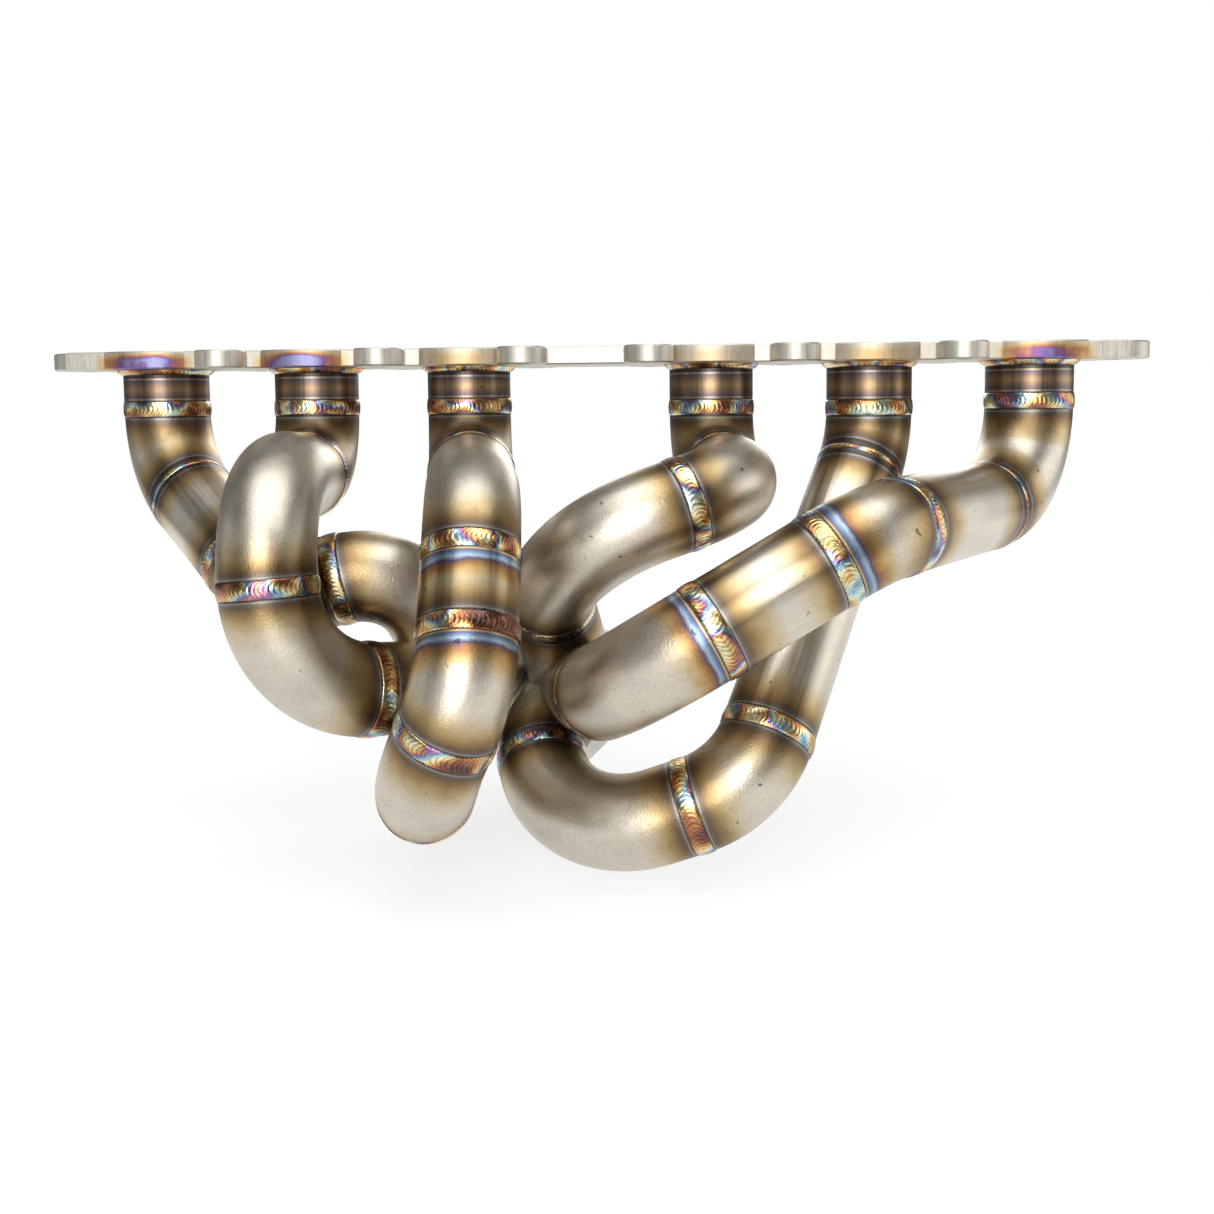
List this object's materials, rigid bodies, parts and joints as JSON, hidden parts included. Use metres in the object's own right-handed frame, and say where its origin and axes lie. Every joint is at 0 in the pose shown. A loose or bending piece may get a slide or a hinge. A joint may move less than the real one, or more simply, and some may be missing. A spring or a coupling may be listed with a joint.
{
  "type": "exhaust manifold",
  "caption": "Tubular exhaust manifold: a long flat head flange, curved welded pipe runners and merge collectors that end in a divided turbo flange.",
  "frame": {"origin": "centre of the head flange's mating face, half way along the row of ports", "axes": "+X along the flange and the engine, +Y along the turbo flange's outward normal, +Z the head flange's outward normal, towards the cylinder head"},
  "size_m": [0.6378, 0.2384, 0.2772],
  "materials": {
    "head_flange_steel": "machined, edge cut, heat tint at the ports",
    "turbo_flange_steel": "machined, bare",
    "weld_metal": "rippled bead with heat tint",
    "collector_steel": "satin",
    "straight_tube_steel": "smooth drawn",
    "elbow_steel": "matt blasted"
  },
  "bodies": {
    "root": {"collector_a": "collector_steel", "collector_b": "collector_steel", "flange_welds": "weld_metal", "head_flange": "head_flange_steel", "runner_1_elbow_a": "elbow_steel", "runner_1_elbow_b": "elbow_steel", "runner_1_straight": "straight_tube_steel", "runner_1_stub": "straight_tube_steel", "runner_1_welds": "weld_metal", "runner_2_elbow_a": "elbow_steel", "runner_2_elbow_b": "elbow_steel", "runner_2_elbow_c": "elbow_steel", "runner_2_stub": "straight_tube_steel", "runner_2_welds": "weld_metal", "runner_3_elbow_a": "elbow_steel", "runner_3_elbow_b": "elbow_steel", "runner_3_elbow_c": "elbow_steel", "runner_3_elbow_d": "elbow_steel", "runner_3_straight": "straight_tube_steel", "runner_3_stub": "straight_tube_steel", "runner_3_welds": "weld_metal", "runner_4_elbow_a": "elbow_steel", "runner_4_elbow_b": "elbow_steel", "runner_4_elbow_c": "elbow_steel", "runner_4_stub": "straight_tube_steel", "runner_4_welds": "weld_metal", "runner_5_elbow_a": "elbow_steel", "runner_5_elbow_b": "elbow_steel", "runner_5_elbow_c": "elbow_steel", "runner_5_straight": "straight_tube_steel", "runner_5_stub": "straight_tube_steel", "runner_5_welds": "weld_metal", "runner_6_elbow_a": "elbow_steel", "runner_6_elbow_b": "elbow_steel", "runner_6_elbow_c": "elbow_steel", "runner_6_straight_a": "straight_tube_steel", "runner_6_straight_b": "straight_tube_steel", "runner_6_stub": "straight_tube_steel", "runner_6_welds": "weld_metal", "turbo_flange": "turbo_flange_steel", "turbo_flange_weld": "weld_metal"}
  },
  "joints": []
}
